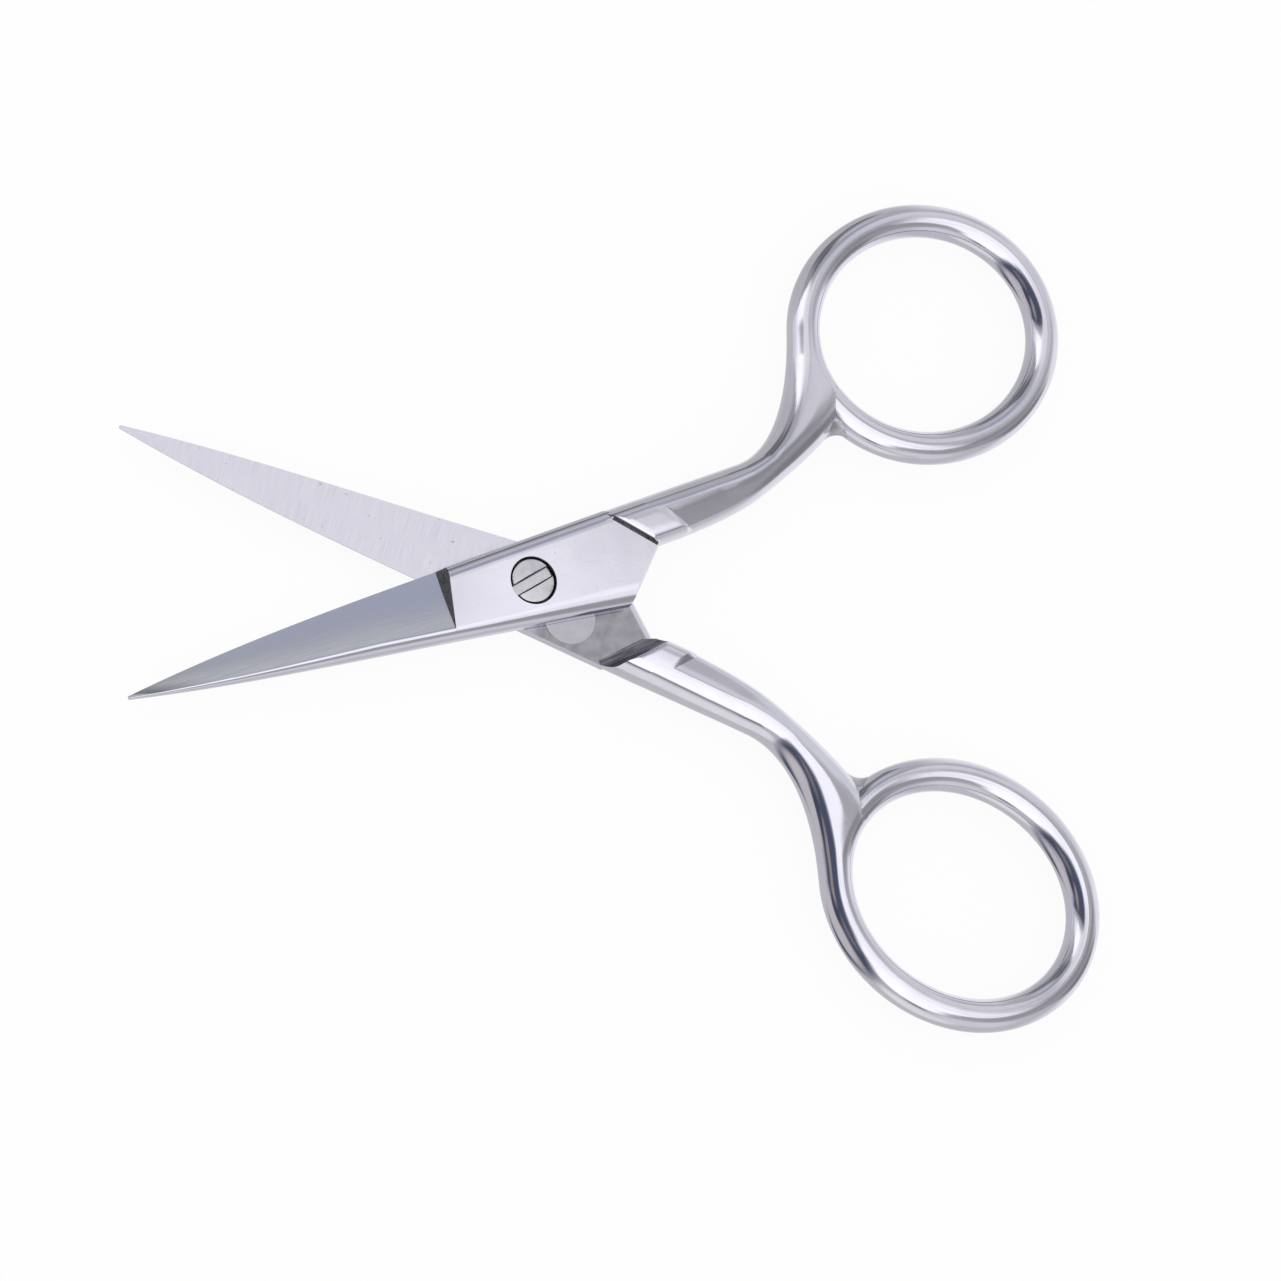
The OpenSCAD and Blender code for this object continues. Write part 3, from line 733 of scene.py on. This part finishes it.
def toe_cutter():
    """The block in front of the shoulder, outside the plate, and its front edge."""
    low, front_end, edge = PLATE_T - BED, SHOULDER - TOE_REACH, SHOULDER + CORNER_ROUND
    outline = [(front_end, low), (SHOULDER, low)]
    outline += arc(edge, BLOCK_H - CORNER_ROUND, CORNER_ROUND, 180, 90, CORNER_STEPS)
    outline += [(edge, ABOVE), (front_end, ABOVE)]
    cutter = prism("toe", outline, -SHOULDER_ASIDE, SHOULDER_ASIDE, FORGED, POLISHED)
    return slanted(cutter, SLANT)


def tail_cutter():
    """Everything past the tail, whose inner edge is round and whose outer edge is broken."""
    inner, outer = TAIL_END - TAIL_ROUND, TAIL_END - BROKEN_EDGE
    outline = [(inner, BELOW), (FAR, BELOW), (FAR, ABOVE), (outer, ABOVE)]
    outline += [(outer, PLATE_T), (TAIL_END, PLATE_T - BROKEN_EDGE)]
    outline += arc(inner, MATE_GAP + TAIL_ROUND - UNDERCUT, TAIL_ROUND, 0, -90, FILLET_STEPS)
    return slanted(prism("tail", outline, -ASIDE, ASIDE, FORGED, POLISHED), -SLANT)


def bed_cutter():
    """The far side of the plate, inside the block."""
    start = SHOULDER + BED
    outline = [(start, BELOW), (FAR, BELOW), (FAR, ABOVE), (start, ABOVE)]
    return slanted(prism("bed", outline, -ASIDE, ASIDE, FORGED, POLISHED), SLANT)


def groove_cutter():
    """The wheel that finished the plate's outer face, at the foot of the block."""
    flat_start = (2 * UPPER_MID - TAIL_DIST) / math.sqrt(2) - BEVEL_UPPER
    middle = (flat_start - TAIL_END) / 2
    rim = arc(0, 0, WHEEL_D / 2, 0, 360, WHEEL_SIDES)[:-1]
    # The wheel's cut takes the very dark recess steel, which paints shade into the groove
    wheel = prism("wheel", rim, 0, GROOVE_W + PROUD, FORGED, SHADED_RECESS)
    wheel.data.polygons[-1].material_index = POLISHED
    at = Matrix.Translation((SHOULDER - GROOVE_W, middle, PLATE_T - GROOVE_DEPTH + WHEEL_D / 2))
    wheel.data.transform(rotation(SLANT, "Z") @ at @ rotation(90, "Y"))
    return wheel


def handle(name):
    """Toe, block, shank, bend, ring and web, cut for the other half's tail."""
    ahead, aside = TOE * DIAGONAL * vec(1, 1), TAIL_ROUND * DIAGONAL * vec(-1, 1)
    s = [section(BLOCK_OUT - ahead, BLOCK_IN - ahead + aside, BLOCK_H, BLOCK_H, MID_PART,
                 OUTER_ROUND, INNER_ROUND)]
    s += [block_station(i / BLOCK_STEPS) for i in range(BLOCK_STEPS + 1)]
    step = [ease(i / RUN_OUT_STEPS) for i in range(1, RUN_OUT_STEPS)]
    s += [mix(block_station(1), shank_station(RUN_OUT), k) for k in step]
    s += [shank_station(mix(RUN_OUT, 1, i / SHANK_STEPS)) for i in range(SHANK_STEPS + 1)]
    s += [bend_station(i / BEND_STEPS) for i in range(1, BEND_STEPS + 1)]
    turns = [mix(JOIN_OUT, WIRE_END + LEAD, i / WIRE_STEPS) for i in range(1, WIRE_STEPS + 1)]
    s += [wire_station(t) for t in turns] + [wire_station(WIRE_END, LEAD_SCALE)]
    half = loft(name, s, lambda j, i: POLISHED)
    combine(half, shoulder_cutter(), "DIFFERENCE", own=True)
    combine(half, toe_cutter(), "DIFFERENCE")
    levels = [2 * i / WEB_LEVELS - 1 for i in range(WEB_LEVELS + 1)]
    # The web gets the darker, duller steel: painted shade in the corner between shank and ring,
    # over a real unpolished finish
    web = loft("web", [web_section(v) for v in levels], lambda j, i: WORN_AND_SHADED)
    return combine(half, web, "UNION")


def blade_and_plate():
    """Blade, heel and joint plate, cut at the tail and inside the block."""
    foot, past_tail = -HEEL_DIST - 2 * HEEL_RUN, TAIL_DIST + PLATE_SPARE
    along = [(i / BLADE_STEPS) ** TIP_CROWDING for i in range(BLADE_STEPS + 1)]
    s = [blade_station(mix(-BLADE_LEN, foot, u), 0) for u in along]
    climbs = [math.sin(math.pi / 2 * i / HEEL_STEPS) for i in range(HEEL_STEPS + 1)]
    s += [blade_station(-HEEL_DIST, climb) for climb in climbs]
    along = [i / PLATE_STEPS for i in range(1, PLATE_STEPS + 1)]
    s += [blade_station(mix(-HEEL_DIST, past_tail, u), 1) for u in along]
    plate = loft("plate", s, blade_slot)
    combine(plate, tail_cutter(), "DIFFERENCE")
    return combine(plate, bed_cutter(), "DIFFERENCE")


def bore_cutter(head_side):
    """Bore and seat on the screw head's side, or the thread's hole in the other half."""
    if head_side:
        r, seat = SHOULDER_D / 2 + RUN_GAP, HEAD_D / 2 + HEAD_GAP
        floor_at = PLATE_T - HEAD_H - HEAD_GAP
        outline = [(0, BORE_LOW), (r, BORE_LOW), (r, floor_at), (seat, floor_at),
                   (seat, PLATE_T - SEAT_EDGE), (seat + SEAT_EDGE, PLATE_T),
                   (seat + SEAT_EDGE, BORE_HIGH), (0, BORE_HIGH)]
    else:
        r = THREAD_D / 2 - THREAD_GRIP
        outline = [(0, BORE_LOW), (r, BORE_LOW), (r, BORE_HIGH), (0, BORE_HIGH)]
    # Bore and seat walls take the very dark recess steel: painted shade in the gap round the head
    return lathe("bore", outline, FORGED, SHADED_RECESS)


def forging(name, head_side):
    """A whole half, in its own frame in millimetres."""
    half = handle(name)
    combine(half, blade_and_plate(), "UNION")
    pad = arc(RIDE_X, RIDE_Y, RIDE_D / 2, 0, 360, ROUND_SIDES)[:-1]
    combine(half, prism("ride", pad, RIDE_GAP / 2, BED, FORGED, WORN_AND_SHADED), "UNION")
    combine(half, groove_cutter(), "DIFFERENCE")
    return combine(half, bore_cutter(head_side), "DIFFERENCE")


# Steps of the head's rounded rim, how far round it goes in degrees, and steps of the crown
RIM_STEPS, RIM_TURN, CROWN_STEPS = 6, 80, 10


def pivot_screw():
    """Crowned, slotted head, smooth shoulder and threaded end."""
    head_top, end = PLATE_T - SCREW_SINK, -PLATE_T + SCREW_SINK
    rim = HEAD_D / 2 - SCREW_BEVEL
    outline = [(0, end), (THREAD_D / 2 - SCREW_BEVEL, end), (THREAD_D / 2, end + SCREW_BEVEL),
               (THREAD_D / 2, -MATE_GAP), (SHOULDER_D / 2, -MATE_GAP),
               (SHOULDER_D / 2, PLATE_T - HEAD_H), (HEAD_D / 2, PLATE_T - HEAD_H)]
    outline += arc(rim, head_top - HEAD_CROWN - SCREW_BEVEL, SCREW_BEVEL, 0, RIM_TURN, RIM_STEPS)
    for i in range(CROWN_STEPS - 1, -1, -1):
        r = rim * i / CROWN_STEPS
        outline.append((r, head_top - HEAD_CROWN * (r / rim) ** 2))
    screw = lathe("pivot_screw_steel", outline, TURNED, HEAD)
    low, wall, edge = head_top - SLOT_DEPTH, SLOT_W / 2, SLOT_W / 2 + SLOT_EDGE
    outline = [(-wall, low), (wall, low), (wall, head_top - SLOT_EDGE), (edge, head_top),
               (edge, BORE_HIGH), (-edge, BORE_HIGH), (-edge, head_top),
               (-wall, head_top - SLOT_EDGE)]
    slot = slanted(prism("slot", outline, -SLOT_ASIDE, SLOT_ASIDE, TURNED, SHADED_SLOT), SLOT_TURN + 90)
    # The slot's floor keeps the head's steel, while its walls and chamfers get the painted shade
    slot.data.polygons[0].material_index = HEAD
    return combine(screw, slot, "DIFFERENCE")


front = forging("front_half_steel", True)
place(front, OPEN_ANGLE / 2, False)
rear = forging("rear_half_steel", False)
place(rear, -OPEN_ANGLE / 2, True)
screw = pivot_screw()
place(screw, 0, False)

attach(front, "front")
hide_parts("front_half")
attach(rear, "rear")
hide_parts("rear_half")
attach(screw, "rear")
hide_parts("pivot_screw")

# Camera at the photograph's angle, aimed beside the pivot so that the frame matches
TILT, HEADING, ROLL = math.radians(26.43), math.radians(-142.74), math.radians(0.36)
DISTANCE, AIM_RIGHT, AIM_DOWN = 0.5306, 0.010313, 0.00493
LENS, SENSOR, CLIP_START, CLIP_END = 165.3, 36.0, 0.01, 20


def add_camera():
    out = math.sin(TILT)
    to_cam = Vector((out * math.cos(HEADING), out * math.sin(HEADING), math.cos(TILT)))
    turn = Vector((0, 0, 1)).rotation_difference(to_cam)
    spin = Matrix.Rotation(ROLL, 3, "Z")
    right, up = turn @ (spin @ Vector((1, 0, 0))), turn @ (spin @ Vector((0, 1, 0)))
    pivot = Vector((0, 0, PLATE_T * MM))
    eye = pivot + to_cam * DISTANCE
    look = (pivot + AIM_RIGHT * right - AIM_DOWN * up - eye).normalized()
    side = look.cross(up).normalized()
    data = bpy.data.cameras.new("camera")
    data.lens, data.sensor_width = LENS, SENSOR
    data.clip_start, data.clip_end = CLIP_START, CLIP_END
    cam = bpy.data.objects.new("camera", data)
    cam.matrix_world = Matrix((side, side.cross(look), -look)).transposed().to_4x4()
    cam.location = eye
    bpy.context.scene.collection.objects.link(cam)
    bpy.context.scene.camera = cam


add_camera()


# Studio: white floor and a pale tent with soft lights, shaded sides and a darker opening
WORLD_LIGHT = 0.5
# The floor's drop below the object and half its side in metres, its colour, and how far it glows
# for camera rays and for mirror rays
FLOOR_DROP, FLOOR_REACH, FLOOR_LEVEL, FLOOR_GLOW = 0.0002, 2, 0.9, (0.92, 0.6)


def fresh_tree(owner):
    owner.use_nodes = True
    owner.node_tree.nodes.clear()
    return owner.node_tree


def seen(tree, camera, mirror):
    """One factor for camera rays, another for mirror and glass rays, and zero for the rest."""
    path = node(tree, "ShaderNodeLightPath", {})
    glossy, glass = path.outputs["Is Glossy Ray"], path.outputs["Is Transmission Ray"]
    mirrored = maths(tree, "MULTIPLY", maths(tree, "MAXIMUM", glossy, glass), mirror)
    direct = maths(tree, "MULTIPLY", path.outputs["Is Camera Ray"], camera)
    return maths(tree, "MAXIMUM", direct, mirrored)


def white_world():
    world = bpy.data.worlds.new("studio")
    bpy.context.scene.world = world
    tree = fresh_tree(world)
    strength = maths(tree, "MAXIMUM", seen(tree, 1, 1), WORLD_LIGHT)
    back = node(tree, "ShaderNodeBackground", {"Color": rgb(1, 1, 1), "Strength": strength})
    node(tree, "ShaderNodeOutputWorld", {"Surface": back.outputs[0]})


def white_floor():
    """A floor that keeps the object's shadow. Mirror rays see the tent's lower half instead."""
    mat = bpy.data.materials.new("white_floor")
    tree = fresh_tree(mat)
    diffuse = node(tree, "ShaderNodeBsdfDiffuse", {"Color": grey(FLOOR_LEVEL)})
    glow = node(tree, "ShaderNodeEmission", {"Color": rgb(1, 1, 1), "Strength": 1.0})
    inputs = {0: seen(tree, *FLOOR_GLOW), 1: diffuse.outputs[0], 2: glow.outputs[0]}
    both = node(tree, "ShaderNodeMixShader", inputs)
    node(tree, "ShaderNodeOutputMaterial", {"Surface": both.outputs[0]})
    z, r = cad_box[0].z - FLOOR_DROP, FLOOR_REACH
    corners = [(-r, -r, z), (r, -r, z), (r, r, z), (-r, r, z)]
    floor = new_object("floor", corners, [(0, 1, 2, 3)], [mat])
    floor.visible_glossy = False


def direction(az, el):
    """A unit vector from heading and height in degrees."""
    a, e = math.radians(az), math.radians(el)
    return Vector((math.cos(a) * math.cos(e), math.sin(a) * math.cos(e), math.sin(e)))


# Soft patches on the tent: heading and height in degrees, full and outer radius, and colour
PATCHES = [
    (20, -18, 30, 62, grey(0.93)),
    (105, -12, 18, 44, grey(0.53)),
    (42, 14, 12, 30, grey(0.75, -0.02)),
    (-25, 34, 12, 36, grey(0.38)),
    (-12, 14, 4, 20, grey(0.25)),
    (-1, 46, 5, 15, grey(0.32)),
    (-45, 8, 8, 26, grey(0.6)),
    (104, 28, 14, 30, grey(0.36)),
    (101, 36, 4, 12, grey(0.16, -0.04)),
    (104, 16, 4, 16, grey(0.18, -0.04)),
    (-98, 12, 12, 30, grey(0.56, 0.03)),
    (-68, 10, 10, 26, grey(0.74)),
    (-97, -14, 12, 26, grey(0.86, 0.03)),
    (-97, 20, 2, 8, grey(0.2, -0.06)),
    (88, 9, 3, 11, grey(0.2, -0.04)),
    (83, 35, 4, 10, grey(0.6)),
    (78, 23, 3, 10, grey(0.5)),
    (54, 24, 4, 13, grey(0.53)),
    (45, 46, 5, 17, grey(0.75)),
    (71, 49, 4, 11, rgb(0.39, 0.415, 0.5)),
    (-30, 72, 14, 22, grey(1.02)),
    (22, 74, 10, 16, grey(1.15)),
    (62, 68, 5, 12, grey(0.85)),
    (-100, 42, 13, 22, grey(1.3)),
    (-92, 62, 14, 22, grey(1.3)),
    (-66, 70, 11, 19, grey(1.25)),
    (92, 66, 4, 9, grey(0.9, 0.02)),
    (110, 59, 5, 10, grey(1.0, 0.02)),
    (123, 50, 6, 11, grey(1.25)),
    (134, 41, 6, 11, grey(1.3)),
    (143, 31, 6, 11, grey(1.25)),
    (150, 20, 5, 10, grey(1.05)),
    (155, 8, 5, 10, grey(0.85)),
    (159, -6, 5, 12, grey(0.75)),
]
# Bare cloth of the tent and of its skirt, and the heights between which the skirt begins
TENT_LEVEL, SKIRT_LEVEL, SKIRT_FADE = 0.48, 0.6, (0.03, 0.3)
TENT_RADIUS, TENT_ROWS, TENT_SIDES = 0.9, 48, 96
# The opening: a wedge between two planes, each given by the heading and height of its normal, and
# the distances from the plane over which its edge fades in
OPENING = (((-99.6, 17.3), (-0.03, 0.05)), ((154.0, 0.0), (-0.02, 0.24)))
OPENING_COLOUR = rgb(0.08, 0.095, 0.14)
# Soft patches inside the opening
INSIDE = [
    (-160, -14, 18, 40, rgb(0.62, 0.59, 0.57)),
    (176, 36, 4, 14, rgb(0.33, 0.3, 0.28)),
    (-150, 42, 5, 14, rgb(0.2, 0.19, 0.2)),
    (-168, 20, 6, 16, rgb(0.07, 0.08, 0.11)),
]


def painted(tree, ray, colour, patches):
    """A colour with soft patches laid over it in turn."""
    for az, el, full, outer, paint in patches:
        edge = [math.cos(math.radians(outer)), math.cos(math.radians(full))]
        near = spread(tree, dot(tree, ray, direction(az, el)), 0, 1, *edge, True)
        colour = blend(tree, near, colour, paint)
    return colour


def soft_tent():
    """A dome that lights evenly and shows its patches to mirror rays alone."""
    mat = bpy.data.materials.new("tent_cloth")
    mat.cycles.emission_sampling = "NONE"
    tree = fresh_tree(mat)
    place_on = node(tree, "ShaderNodeTexCoord", {}).outputs["Object"]
    ray = node(tree, "ShaderNodeVectorMath", {0: place_on}, operation="NORMALIZE").outputs[0]
    skirt = spread(tree, dot(tree, ray, (0, 0, 1)), 1, 0, *SKIRT_FADE, True)
    colour = blend(tree, skirt, grey(TENT_LEVEL), grey(SKIRT_LEVEL))
    colour = painted(tree, ray, colour, PATCHES)
    sides = [spread(tree, dot(tree, ray, direction(*n)), 0, 1, *fade, True) for n, fade in OPENING]
    inside = painted(tree, ray, OPENING_COLOUR, INSIDE)
    colour = blend(tree, maths(tree, "MULTIPLY", *sides), colour, inside)
    mirrored = node(tree, "ShaderNodeLightPath", {}).outputs["Is Glossy Ray"]
    colour = blend(tree, mirrored, grey(1.0), colour)
    glow = node(tree, "ShaderNodeEmission", {"Color": colour, "Strength": 1.0})
    node(tree, "ShaderNodeOutputMaterial", {"Surface": glow.outputs[0]})
    outline = arc(0, 0, TENT_RADIUS, -90, 90, TENT_ROWS)
    outline[0], outline[-1] = (0, -TENT_RADIUS), (0, TENT_RADIUS)
    dome = lathe("tent", outline, [mat], 0, TENT_SIDES)
    dome.visible_camera = False
    dome.visible_shadow = False


white_world()
white_floor()
soft_tent()

bpy.context.scene.view_settings.view_transform = "Standard"
